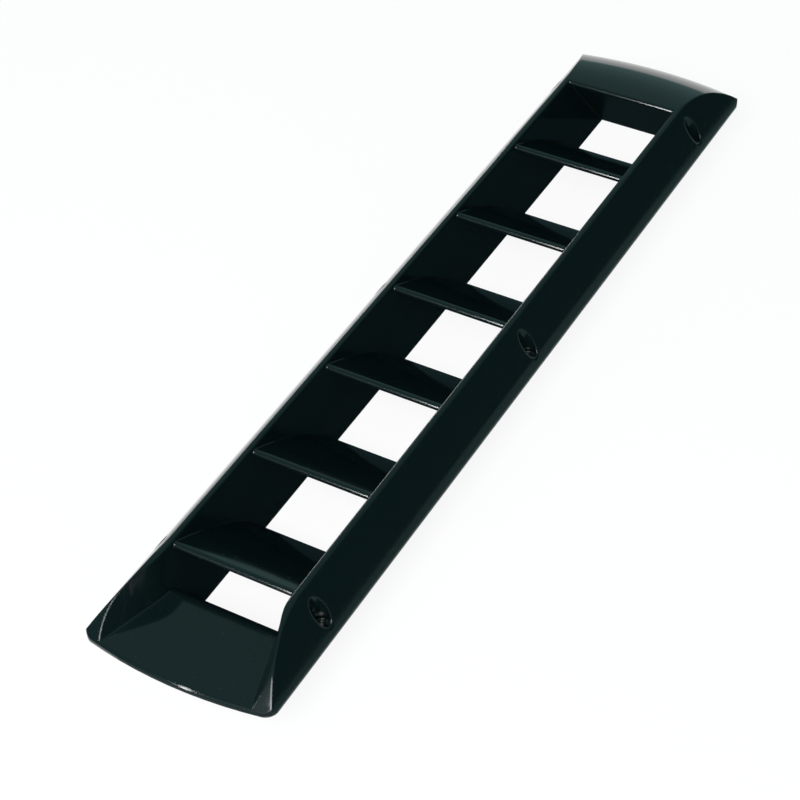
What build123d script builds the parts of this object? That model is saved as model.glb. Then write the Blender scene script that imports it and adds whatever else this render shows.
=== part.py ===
from build123d import *
import os
from math import atan2, cos, hypot, radians, sin, sqrt, tan

# Louvred air scoop, moulded in one piece. The flange plane is z = 0, +X points from the open
# mouth to the closed hood, and the origin is the centre of the six screw holes.

# Outline and height
length = 406.0  # over the two bowed ends
width = 79.0
crest_height = 19.0  # flange plane to the top of the rails
end_bow = 4.25  # bulge of each end past its corners
corner_radius = 5.0
edge_height = 1.8  # upright edge round the foot

# Outer skin
wall = 2.5
rim_width = 4.5  # flat foot that bears on the panel
crest_land = 2.6  # level top of each rail, beside the duct
crest_radius = 2.0
rail_bow = 0.5  # fullness of the rails' outer faces
dome_lead = 4.0  # level crest behind the hood's lip, before the dome falls

# Duct between the rails
duct_top_width = 50.8  # between the rails, at crest height
duct_draft = 8.2  # lean of the side walls, in degrees
shoulder_radius = 0.9  # rounding of the rails' inner top edges
collar_depth = 17.0  # reach of the duct walls below the flange plane
shelf_length = 37.0  # near end to where the shelf breaks down into the duct
near_wall_run = 11.5
shelf_bend_radius = 4.0
far_wall_run = 24.0

# Louvre blades
blade_count = 6
lip_setback = 6.0  # first blade's lip behind the shelf's break
hood_length = 47.4  # hood's lip to the far end
blade_thickness = 2.8
lip_height = 17.9  # top of the rolled lip
blade_run = 39.6  # lip to foot, level
blade_drop = 25.0  # lip to foot, upright
blade_bow = 1.5

# Mouth
shelf_thickness = 2.5
mouth_floor_width = 62.8  # at the corners of the near end
mouth_draft = 38.0  # lean of the cheeks at the near end, in degrees
flare_gap = 1.5  # the cheeks start to lean this far before the first lip
flare_softness = 6.0  # length over which the lean eases in
floor_softness = 3.0  # length over which the floor starts to spread
mouth_stations = 11

# Screw holes
screw_end_gap = 45.5  # outer holes to the ends
screw_side_gap = 5.5  # holes to the long sides
screw_hole = 4.2
screw_head = 7.2
screw_seat = 3.0  # height of the counterbore's floor
boss_wall = 1.8

# Derived places
past = 5.0  # how far cutting shapes run past what they cut
near_end = -length / 2
far_end = length / 2
end_radius = ((width / 2) ** 2 + end_bow**2) / (2 * end_bow)
crest_width = duct_top_width + 2 * crest_land
near_wall_top = near_end + shelf_length
first_lip = near_wall_top + lip_setback
hood_lip = far_end - hood_length
blade_pitch = (hood_lip - first_lip) / blade_count
screw_spacing = length / 2 - screw_end_gap
screw_row = width / 2 - screw_side_gap
duct_slope = tan(radians(duct_draft))
mouth_slope = tan(radians(mouth_draft))
shelf_half = duct_top_width / 2 - duct_slope * (crest_height - shelf_thickness)
duct_low = -collar_depth - past
duct_high = crest_height + past
lip_radius = blade_thickness / 2
near_lean = near_wall_run / (shelf_thickness + collar_depth)
far_wall_top = hood_lip + lip_radius
dome_run = far_end - far_wall_top - dome_lead
dome_rise = crest_height - edge_height
dome_radius = (dome_run**2 + dome_rise**2) / (2 * dome_rise)
rail_run = (width - crest_width) / 2
rail_chord = hypot(rail_run, dome_rise)
rail_radius = rail_chord**2 / (8 * rail_bow) + rail_bow / 2
rail_lean = rail_run / dome_rise
rail_skin = wall * hypot(1, rail_lean)
far_lean = far_wall_run / (crest_height - blade_thickness + collar_depth)

# The shelf rounds over into the near wall on a bend that is tangent to both
bend_turn = atan2(1, near_lean)
bend_reach = shelf_bend_radius * tan(bend_turn / 2)
bend_end = (near_wall_top + bend_reach * cos(bend_turn), shelf_thickness - bend_reach * sin(bend_turn))
floor_start = near_wall_top - bend_reach
flare_start = first_lip - flare_gap
mouth_corner = near_end + end_bow


def dome_profile(inset, foot_inset, bottom):
    """Half section of the near end's dome about its upright axis, drawn inset from the outside."""
    arc_x = near_end + dome_run
    arc_z = crest_height - dome_radius
    radius = dome_radius - inset
    foot_x = near_end + foot_inset
    foot_z = arc_z + sqrt(radius**2 - (arc_x - foot_x) ** 2)
    turn = atan2(arc_x - foot_x, foot_z - arc_z) / 2
    middle = (arc_x - radius * sin(turn), arc_z + radius * cos(turn))
    axis_x = near_end + end_radius
    with BuildLine() as line:
        top = (arc_x, arc_z + radius)
        Polyline(top, (axis_x, arc_z + radius), (axis_x, bottom), (foot_x, bottom), (foot_x, foot_z))
        ThreePointArc((foot_x, foot_z), middle, top)
    return line.line


def rail_point(along):
    """Point of a rail's bowed outer face, at a distance along the chord up from its foot."""
    bulge = sqrt(rail_radius**2 - (along - rail_chord / 2) ** 2) - rail_radius + rail_bow
    out = width / 2 + (dome_rise * bulge - rail_run * along) / rail_chord
    up = edge_height + (dome_rise * along + rail_run * bulge) / rail_chord
    return out, up


def eased(reach, softness, full):
    """Share of a spread that starts level at reach 0, runs straight after the softness and is 1 at full."""
    return (hypot(max(reach, 0), softness) - softness) / (hypot(full, softness) - softness)


def side_section(x, grow=0.0):
    """Corners of the cross-section between the side walls at x, widened by grow."""
    floor_share = eased(floor_start - x, floor_softness, floor_start - mouth_corner)
    lean_share = eased(flare_start - x, flare_softness, flare_start - mouth_corner)
    lean = duct_slope + (mouth_slope - duct_slope) * lean_share
    floor_half = shelf_half + (mouth_floor_width / 2 - shelf_half) * floor_share + grow * hypot(1, lean)
    low = duct_low - past
    high = duct_high + past
    low_half = floor_half - lean * (shelf_thickness - low)
    high_half = floor_half + lean * (high - shelf_thickness)
    return [(-low_half, low), (low_half, low), (high_half, high), (-high_half, high)]


def side_walls(grow):
    """Body between the duct's side walls, with the mouth's spreading cheeks at the near end."""
    with BuildPart() as body:
        with BuildSketch(Plane.YZ.offset(flare_start)):
            Polygon(*side_section(flare_start, grow), align=None)
        extrude(amount=far_end - flare_start)
        with BuildPart(mode=Mode.ADD):
            for i in range(mouth_stations):
                x = flare_start + (near_end - 2 * past - flare_start) * i / (mouth_stations - 1)
                with BuildSketch(Plane.YZ.offset(x)):
                    Polygon(*side_section(x, grow), align=None)
            loft()
    return body.part


# Outer form: the near half is a domed disc whose rim is the bowed end, cut to the rails' section and
# the outline, and the far half is its mirror
with BuildPart() as form:
    with BuildSketch(Plane.XZ):
        add(dome_profile(0, -past, -2 * past))
        make_face()
    revolve(axis=Axis((near_end + end_radius, 0, 0), (0, 0, 1)))
    with BuildSketch(Plane.YZ.offset(near_end)) as rail_section:
        foot, middle, crest = rail_point(-past), rail_point(rail_chord / 2), rail_point(rail_chord)
        with BuildLine():
            right = ThreePointArc(foot, middle, crest)
            left = ThreePointArc(*[(-y, z) for y, z in (crest, middle, foot)])
            Line(right @ 1, left @ 0)
            Line(left @ 1, right @ 0)
        make_face()
        fillet(rail_section.vertices().group_by(Axis.Y)[-1], crest_radius)
    extrude(amount=length / 2, mode=Mode.INTERSECT)
    with BuildSketch() as outline:
        with Locations((near_end + end_radius, 0), (far_end - end_radius, 0)):
            Circle(end_radius)
        Rectangle(length, width, mode=Mode.INTERSECT)
        fillet(outline.vertices(), corner_radius)
    extrude(amount=crest_height, mode=Mode.INTERSECT)
    mirror(about=Plane.YZ)

# Shelf, cheeks and duct walls, solid through, from the collar's foot to the crest
with BuildPart() as walls:
    add(side_walls(wall))
    near_skin = wall * hypot(1, near_lean)
    far_skin = wall * hypot(1, far_lean)
    with BuildSketch(Plane.XZ):
        Polygon(
            (near_end - past, crest_height),
            (near_end - past, 0),
            (near_wall_top - near_skin + near_lean * shelf_thickness, 0),
            (near_wall_top - near_skin + near_wall_run, -collar_depth),
            (far_wall_top + far_skin + far_wall_run, -collar_depth),
            (far_wall_top + far_skin, crest_height - blade_thickness),
            (far_wall_top + far_skin, crest_height),
            align=None,
        )
    extrude(amount=width, both=True, mode=Mode.INTERSECT)

# Air space of the mouth and the duct, with the hood's rolled lip left standing
with BuildPart() as air:
    add(side_walls(0.0))
    with BuildSketch(Plane.XZ):
        with BuildLine():
            mouth_edge = Polyline(
                (far_wall_top, duct_high),
                (near_end - past, duct_high),
                (near_end - past, shelf_thickness),
                (floor_start, shelf_thickness),
            )
            bend = TangentArc(mouth_edge @ 1, bend_end, tangent=(1, 0))
            duct_edge = Polyline(
                bend @ 1,
                (near_wall_top + near_lean * (shelf_thickness - duct_low), duct_low),
                (far_wall_top + far_wall_run + far_lean * past, duct_low),
                (far_wall_top, crest_height - blade_thickness),
            )
            lip_front = (hood_lip, crest_height - lip_radius)
            lip = ThreePointArc(duct_edge @ 1, lip_front, (far_wall_top, crest_height))
            Line(lip @ 1, mouth_edge @ 0)
        make_face()
    extrude(amount=width, both=True, mode=Mode.INTERSECT)

screw_places = [(x, y) for x in (-screw_spacing, 0, screw_spacing) for y in (-screw_row, screw_row)]

# Underside hollow of the rails and the hood, less the walls and bosses that stand in it
with BuildPart() as hollow:
    with BuildSketch(Plane.XZ):
        add(dome_profile(wall, rim_width, 0))
        make_face()
    revolve(axis=Axis((near_end + end_radius, 0, 0), (0, 0, 1)))
    with BuildSketch(Plane.YZ.offset(near_end)):
        skin_top = crest_height - wall
        inner_foot = width / 2 - rim_width
        inner_top = width / 2 - rail_skin - rail_lean * (skin_top - edge_height)
        knee = edge_height + (rim_width - rail_skin) / rail_lean
        Polygon(
            (-inner_foot, 0),
            (inner_foot, 0),
            (inner_foot, knee),
            (inner_top, skin_top),
            (-inner_top, skin_top),
            (-inner_foot, knee),
            align=None,
        )
    extrude(amount=length / 2, mode=Mode.INTERSECT)
    mirror(about=Plane.YZ)
    add(walls.part, mode=Mode.SUBTRACT)
    with BuildSketch():
        with Locations(*screw_places):
            Circle(screw_head / 2 + boss_wall)
    extrude(amount=crest_height, mode=Mode.SUBTRACT)

# Louvre blades: one bowed slot profile with a rolled lip, repeated along the duct
with BuildPart() as blades:
    add(side_walls(wall / 2))
    with BuildLine() as spine:
        SagittaArc((lip_radius, lip_height - lip_radius), (blade_run, lip_height - blade_drop), blade_bow)
    with BuildSketch(Plane.XZ):
        with Locations(*[(first_lip + i * blade_pitch, 0) for i in range(blade_count)]):
            SlotArc(spine.wire(), blade_thickness)
    extrude(amount=width, both=True, mode=Mode.INTERSECT)

# Collar: the duct's walls below the flange plane
with BuildPart() as collar:
    add(split(walls.part, bisect_by=Plane.XY, keep=Keep.BOTTOM))
    add(air.part, mode=Mode.SUBTRACT)

# The moulding
with BuildPart() as louvre_scoop:
    add(form.part)
    add(hollow.part, mode=Mode.SUBTRACT)
    add(air.part, mode=Mode.SUBTRACT)
    add(collar.part)
    rail_edges = edges().filter_by(Axis.X).group_by(Axis.Z)[-1]
    fillet(rail_edges.sort_by(lambda e: abs(e.center().Y))[:2], shoulder_radius)
    add(blades.part)
    with Locations(*[(x, y, crest_height) for x, y in screw_places]):
        CounterBoreHole(screw_hole / 2, screw_head / 2, crest_height - screw_seat)

louvre_scoop.part.label = "louvre_scoop"
os.makedirs("parts", exist_ok=True)
export_step(louvre_scoop.part, "parts/louvre_scoop.step")
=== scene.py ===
import bpy
import numpy as np
from mathutils import Matrix, Vector


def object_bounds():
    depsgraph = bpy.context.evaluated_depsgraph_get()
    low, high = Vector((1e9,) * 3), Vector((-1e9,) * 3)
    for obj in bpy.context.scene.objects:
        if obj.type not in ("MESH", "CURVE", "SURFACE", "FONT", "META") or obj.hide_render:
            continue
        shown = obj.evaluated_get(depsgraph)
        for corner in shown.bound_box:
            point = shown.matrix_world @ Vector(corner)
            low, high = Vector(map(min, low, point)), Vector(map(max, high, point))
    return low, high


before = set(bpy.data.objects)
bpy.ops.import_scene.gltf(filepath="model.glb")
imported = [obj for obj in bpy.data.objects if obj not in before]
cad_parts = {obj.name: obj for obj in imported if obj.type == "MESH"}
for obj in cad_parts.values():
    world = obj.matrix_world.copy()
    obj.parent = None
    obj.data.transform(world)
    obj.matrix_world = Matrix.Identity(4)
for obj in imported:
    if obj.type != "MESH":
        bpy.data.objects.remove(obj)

bl_info = {
    "name": "Louvred air scoop",
    "version": (1, 0, 0),
    "blender": (4, 5, 0),
    "location": "View3D > Sidebar > Air scoop",
    "description": "Finish, studio and camera for a glossy black louvred air scoop",
    "category": "Object",
}

CAD_BOX = [list(corner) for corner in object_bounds()]
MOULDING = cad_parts["louvre_scoop"]
COLLAR_FOOT = CAD_BOX[0][2]


class Sock:
    """A node's output with Python operators, so that shader maths reads as an expression."""

    def __init__(self, shader, output):
        self.shader = shader
        self.output = output

    def _math(self, operation, left, right=None, clamp=False):
        values = {0: left}
        if right is not None:
            values[1] = right
        return self.shader.add("ShaderNodeMath", {"operation": operation, "use_clamp": clamp}, values)

    def __add__(self, other):
        return self._math("ADD", self, other)

    def __radd__(self, other):
        return self._math("ADD", other, self)

    def __sub__(self, other):
        return self._math("SUBTRACT", self, other)

    def __rsub__(self, other):
        return self._math("SUBTRACT", other, self)

    def __mul__(self, other):
        return self._math("MULTIPLY", self, other)

    def __rmul__(self, other):
        return self._math("MULTIPLY", other, self)

    def clamped(self):
        """The value held between 0 and 1."""
        return self._math("MULTIPLY", self, 1.0, clamp=True)

    def highest(self, other):
        """The larger of two values."""
        return self._math("MAXIMUM", self, other)

    def ramp(self, low, high, start=0.0, end=1.0):
        """A smooth step from start to end while the value goes from low to high."""
        return self.shader.add(
            "ShaderNodeMapRange",
            {"interpolation_type": "SMOOTHSTEP"},
            {"Value": self, "From Min": low, "From Max": high, "To Min": start, "To Max": end},
        )


class Shader:
    """A node tree that is filled by one method."""

    def __init__(self, owner):
        owner.use_nodes = True
        self.tree = owner.node_tree
        self.tree.nodes.clear()

    def add(self, kind, settings=None, values=None, output=0):
        """Adds a node, makes its settings, fills or links its sockets, and gives one of its outputs."""
        node = self.tree.nodes.new(kind)
        for name, value in (settings or {}).items():
            setattr(node, name, value)
        for name, value in (values or {}).items():
            socket = node.inputs[name]
            if isinstance(value, Sock):
                self.tree.links.new(value.output, socket)
            else:
                socket.default_value = value
        return Sock(self, node.outputs[output]) if len(node.outputs) else node

    def dot(self, left, right):
        """The dot product of two vectors."""
        return self.add("ShaderNodeVectorMath", {"operation": "DOT_PRODUCT"}, {0: left, 1: right}, "Value")

    def noise(self, place, scale, detail=2.0, roughness=0.5, stretch=None):
        """Noise on a place, from 0 to 1, drawn out along the axes that stretch shortens."""
        if stretch is not None:
            place = self.add("ShaderNodeMapping", {}, {"Vector": place, "Scale": stretch})
        values = {"Vector": place, "Scale": scale, "Detail": detail, "Roughness": roughness}
        return self.add("ShaderNodeTexNoise", {}, values, 0)

    def blend(self, factor, first, second):
        """A colour between two colours."""
        settings = {"data_type": "RGBA", "blend_type": "MIX", "clamp_factor": True}
        return self.add("ShaderNodeMix", settings, {0: factor, 6: first, 7: second}, 2)


class ScoopFinish(bpy.types.PropertyGroup):
    """The look of the moulded plastic."""

    body_colour: bpy.props.FloatVectorProperty(
        name="Body colour", description="Colour of the plastic itself",
        subtype="COLOR", size=4, min=0.0, max=1.0, default=(0.0027, 0.0068, 0.0075, 1.0))
    scuff_colour: bpy.props.FloatVectorProperty(
        name="Scuff colour", description="Colour where edges are rubbed",
        subtype="COLOR", size=4, min=0.0, max=1.0, default=(0.012, 0.020, 0.021, 1.0))
    gloss_roughness: bpy.props.FloatProperty(
        name="Gloss roughness", description="Roughness of the polished faces",
        subtype="FACTOR", min=0.0, max=1.0, default=0.085)
    hidden_roughness: bpy.props.FloatProperty(
        name="Hidden roughness", description="Roughness of the underside, which the mould leaves dull",
        subtype="FACTOR", min=0.0, max=1.0, default=0.42)
    corner_radius: bpy.props.FloatProperty(
        name="Corner radius", description="Rounding that light sees on the moulded corners",
        unit="LENGTH", subtype="DISTANCE", min=0.0, default=0.0012)
    ripple_depth: bpy.props.FloatProperty(
        name="Ripple depth", description="Depth of the slight moulding ripple",
        unit="LENGTH", subtype="DISTANCE", min=0.0, default=0.00002)


class ScoopStudio(bpy.types.PropertyGroup):
    """The floor, lamps and camera round the part."""

    floor_colour: bpy.props.FloatVectorProperty(
        name="Floor colour", description="Colour of the sweep under the part",
        subtype="COLOR", size=4, min=0.0, max=1.0, default=(0.93, 0.93, 0.93, 1.0))
    floor_size: bpy.props.FloatProperty(
        name="Floor size", description="Side of the square floor",
        unit="LENGTH", subtype="DISTANCE", default=6.0)
    lens: bpy.props.FloatProperty(
        name="Lens", description="Focal length on a 36 mm sensor, in millimetres", default=97.66)
    camera_place: bpy.props.FloatVectorProperty(
        name="Camera place", description="Where the camera stands",
        subtype="TRANSLATION", unit="LENGTH", size=3, default=(-0.56641, -0.32423, 0.58051))


def object_place(shader):
    """The part's own coordinates in metres, which every pattern on it reads."""
    return shader.add("ShaderNodeTexCoord", {}, {}, "Object")


def moulded_plastic(finish):
    """Glossy black plastic with moulding ripple, fine grain, varying gloss, rubbed edges and a dull underside."""
    material = bpy.data.materials.new("gloss_moulding")
    shader = Shader(material)
    place = object_place(shader)
    true_normal = shader.add("ShaderNodeNewGeometry", {}, {}, "Normal")
    soft_normal = shader.add("ShaderNodeBevel", {"samples": 8}, {"Radius": finish.corner_radius})

    edge = (1.0 - shader.dot(true_normal, soft_normal)).ramp(0.02, 0.22)
    patches = shader.noise(place, 55.0, 4.0, 0.6).ramp(0.42, 0.68)
    rubbed = edge * patches
    haze = shader.noise(place, 16.0, 3.0, 0.55, (0.35, 1.0, 1.0))
    flecks = shader.noise(place, 900.0, 2.0, 0.6).ramp(0.66, 0.78)
    up = shader.dot(true_normal, (0.0, 0.0, 1.0))
    dust = up.ramp(0.55, 1.0) * flecks
    level = shader.add("ShaderNodeSeparateXYZ", {}, {0: place}, "Z")
    under = up.ramp(-0.35, -0.8) * level.ramp(0.0165, 0.0155)

    tint = shader.blend(rubbed * 0.5, tuple(finish.body_colour), tuple(finish.scuff_colour))
    tint = shader.blend(dust * 0.35, tint, (0.05, 0.055, 0.055, 1.0))
    gloss = finish.gloss_roughness + (haze - 0.5) * 0.07 + rubbed * 0.16 + dust * 0.12
    gloss = gloss + under * (finish.hidden_roughness - finish.gloss_roughness)

    ripple = shader.noise(place, 42.0, 1.0, 0.4, (0.5, 1.0, 1.0))
    grain = shader.noise(place, 2600.0, 2.0, 0.5)
    height = ripple + grain * 0.03
    bump = shader.add(
        "ShaderNodeBump", {},
        {"Strength": 0.5, "Distance": finish.ripple_depth, "Height": height, "Normal": soft_normal})
    plastic = shader.add(
        "ShaderNodeBsdfPrincipled", {},
        {"Base Color": tint, "Roughness": gloss.clamped(), "Normal": bump, "IOR": 1.46})
    shader.add("ShaderNodeOutputMaterial", {}, {"Surface": plastic})
    return material


def sweep_material(studio):
    """Pale floor that takes the part's shadow and shows white to the camera and in the gloss."""
    material = bpy.data.materials.new("pale_sweep")
    shader = Shader(material)
    seen = shader.add("ShaderNodeLightPath", {}, {}, "Is Camera Ray")
    mirrored = shader.add("ShaderNodeLightPath", {}, {}, "Is Glossy Ray")
    through = shader.add("ShaderNodeLightPath", {}, {}, "Is Transmission Ray")
    shows = seen.highest(mirrored).highest(through)
    matt = shader.add("ShaderNodeBsdfDiffuse", {}, {"Color": tuple(studio.floor_colour)})
    white = shader.add("ShaderNodeEmission", {}, {"Color": (1.0, 1.0, 1.0, 1.0), "Strength": 1.0})
    surface = shader.add("ShaderNodeMixShader", {}, {0: shows * 0.9, 1: matt, 2: white})
    shader.add("ShaderNodeOutputMaterial", {}, {"Surface": surface})
    return material


def painted_reflection_material(name, colour):
    """Card of one even tone that only the gloss mirrors: a glow that paints a reflection or shade and lights
    nothing.
    """
    material = bpy.data.materials.new(name)
    shader = Shader(material)
    card = shader.add("ShaderNodeEmission", {}, {"Color": colour, "Strength": 1.0})
    shader.add("ShaderNodeOutputMaterial", {}, {"Surface": card})
    return material


def sheet_mesh(name, corner, along, across):
    """A flat sheet: every point is the corner plus a share of the along edge plus a share of the across edge."""
    share = np.linspace(0.0, 1.0, 9)
    x, y = np.meshgrid(share, share, indexing="ij")
    points = np.array(corner) + x[..., None] * np.array(along) + y[..., None] * np.array(across)
    points = points.reshape(-1, 3)
    number = np.arange(x.size).reshape(x.shape)
    corners = (number[:-1, :-1], number[1:, :-1], number[1:, 1:], number[:-1, 1:])
    faces = np.stack(corners, axis=-1).reshape(-1, 4)
    mesh = bpy.data.meshes.new(name)
    mesh.from_pydata(points.tolist(), [], faces.tolist())
    mesh.update()
    return mesh


def soft_lamp(name, place, aim, width, height, radiance, lean=(0.0, 0.0, 1.0)):
    """A rectangular soft lamp, its height along lean; its power is pi times its area times its radiance."""
    data = bpy.data.lights.new(name, "AREA")
    data.shape = "RECTANGLE"
    data.size = width
    data.size_y = height
    data.energy = radiance * width * height * np.pi
    lamp = bpy.data.objects.new(name, data)
    bpy.context.scene.collection.objects.link(lamp)
    back = (Vector(place) - Vector(aim)).normalized()
    side = Vector(lean).cross(back).normalized()
    turn = Matrix((side, back.cross(side), back)).transposed().to_4x4()
    lamp.matrix_world = Matrix.Translation(Vector(place)) @ turn


def studio_world():
    """A dim room: teal grey overhead, paler at the back left and behind the camera, dark on the right."""
    world = bpy.data.worlds.new("studio_room")
    bpy.context.scene.world = world
    shader = Shader(world)
    direction = shader.add("ShaderNodeTexCoord", {}, {}, "Generated")
    back_left = shader.dot(direction, (0.72, 0.69, 0.0))
    behind = shader.dot(direction, (-0.78, -0.62, 0.0))
    height = shader.dot(direction, (0.0, 0.0, 1.0))
    pale = back_left.ramp(-0.1, 1.0)
    overhead = height.ramp(-0.1, 0.9)
    tone = shader.blend(overhead, (0.03, 0.06, 0.06, 1.0), (0.11, 0.25, 0.25, 1.0))
    tone = shader.blend(pale, tone, (0.22, 0.38, 0.37, 1.0))
    tone = shader.blend(behind.ramp(0.1, 0.85), tone, (0.85, 0.95, 0.95, 1.0))
    background = shader.add("ShaderNodeBackground", {}, {"Color": tone, "Strength": 1.0})
    shader.add("ShaderNodeOutputWorld", {}, {"Surface": background})


class SCOOP_OT_finish(bpy.types.Operator):
    """Gives the moulding its glossy black plastic"""

    bl_idname = "scoop.finish"
    bl_label = "Finish the moulding"

    def execute(self, context):
        material = moulded_plastic(context.scene.scoop_finish)
        slots = MOULDING.material_slots
        if not len(slots):
            raise RuntimeError("the moulding has no material slot")
        for slot in slots:
            slot.material = material
        return {"FINISHED"}


class SCOOP_OT_studio(bpy.types.Operator):
    """Builds the floor, the lamps, the room and the camera"""

    bl_idname = "scoop.studio"
    bl_label = "Build the studio"

    def execute(self, context):
        scene = context.scene
        studio = scene.scoop_studio
        side = studio.floor_size
        level = COLLAR_FOOT - 0.0005
        sweep = sweep_material(studio)
        # Dark glowing card that only the gloss sees: painted shade under the part and a painted dark reflection
        # on the right.
        dark = painted_reflection_material("painted_dark_reflection_card", (0.015, 0.032, 0.036, 1.0))
        # Grey glowing card that only the gloss sees: painted grey reflections beside and near the part.
        grey = painted_reflection_material("painted_grey_reflection_card", (0.20, 0.31, 0.30, 1.0))
        sheets = {
            "sweep": (sweep, (-side / 2, -side / 2, level), (side, 0, 0), (0, side, 0)),
            # Dark card under the part: painted shade of the part on the floor, seen only in the gloss.
            "painted_shade_under_part": (dark, (-0.205, -0.033, level + 0.0003), (0.41, 0, 0), (0, 0.066, 0)),
            # Dark card rising on the right: a painted dark reflection in the right rail's outer face, seen only
            # in the gloss.
            "painted_dark_reflection_right": (dark, (-0.6, -0.30, level), (2.2, 0, 0), (0, -0.1, 0.5)),
            # Grey cards on the floor beside and near the part: painted grey reflections in place of the white
            # floor, seen only in the gloss.
            "painted_reflection_beside": (grey, (-0.5, -0.30, level + 0.0003), (1.1, 0, 0), (0, 0.255, 0)),
            "painted_reflection_near": (grey, (-0.5, -0.045, level + 0.0003), (0.29, 0, 0), (0, 0.3, 0)),
        }
        for name, (material, corner, along, across) in sheets.items():
            sheet = bpy.data.objects.new(name, sheet_mesh(name, corner, along, across))
            sheet.data.materials.append(material)
            if name != "sweep":
                sheet.visible_camera = False
                sheet.visible_diffuse = False
                sheet.visible_shadow = False
            scene.collection.objects.link(sheet)

        studio_world()
        soft_lamp("near_overhead", (-1.15, -0.2, 1.15), (0, 0, 0), 0.7, 0.7, 15.0)
        lips = (-0.03, -0.02, 0.017)
        soft_lamp("lip_strip", (-1.15, 0.432, 0.48), lips, 0.034, 0.9, 40.0, (0.0, 0.14, 0.85))
        soft_lamp("back_left", (0.82, 1.22, 0.16), (0, 0, 0), 0.7, 0.36, 5.0)

        right = Vector((0.49457, -0.86829, -0.03842))
        up = Vector((0.60971, 0.31511, 0.7273))
        backward = Vector((-0.6194, -0.38313, 0.68525))
        data = bpy.data.cameras.new("photo_camera")
        data.lens = studio.lens
        data.sensor_width = 36.0
        data.sensor_fit = "AUTO"
        data.clip_start = 0.01
        data.clip_end = 50.0
        camera = bpy.data.objects.new("photo_camera", data)
        scene.collection.objects.link(camera)
        turn = Matrix((right, up, backward)).transposed().to_4x4()
        camera.matrix_world = Matrix.Translation(Vector(studio.camera_place)) @ turn
        scene.camera = camera
        scene.view_settings.view_transform = "Standard"
        return {"FINISHED"}


class SCOOP_PT_panel(bpy.types.Panel):
    """Lists the steps that dress the air scoop"""

    bl_idname = "SCOOP_PT_panel"
    bl_label = "Air scoop"
    bl_space_type = "VIEW_3D"
    bl_region_type = "UI"
    bl_category = "Air scoop"

    def draw(self, context):
        column = self.layout.column()
        for group in (context.scene.scoop_finish, context.scene.scoop_studio):
            for name in group.__annotations__:
                column.prop(group, name)
        column.operator("scoop.finish")
        column.operator("scoop.studio")


CLASSES = (ScoopFinish, ScoopStudio, SCOOP_OT_finish, SCOOP_OT_studio, SCOOP_PT_panel)


def register():
    for item in CLASSES:
        bpy.utils.register_class(item)
    bpy.types.Scene.scoop_finish = bpy.props.PointerProperty(type=ScoopFinish)
    bpy.types.Scene.scoop_studio = bpy.props.PointerProperty(type=ScoopStudio)


def unregister():
    del bpy.types.Scene.scoop_studio
    del bpy.types.Scene.scoop_finish
    for item in reversed(CLASSES):
        bpy.utils.unregister_class(item)


def main():
    """Registers the add-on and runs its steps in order."""
    register()
    bpy.ops.scoop.finish()
    bpy.ops.scoop.studio()


if __name__ == "__main__":
    main()
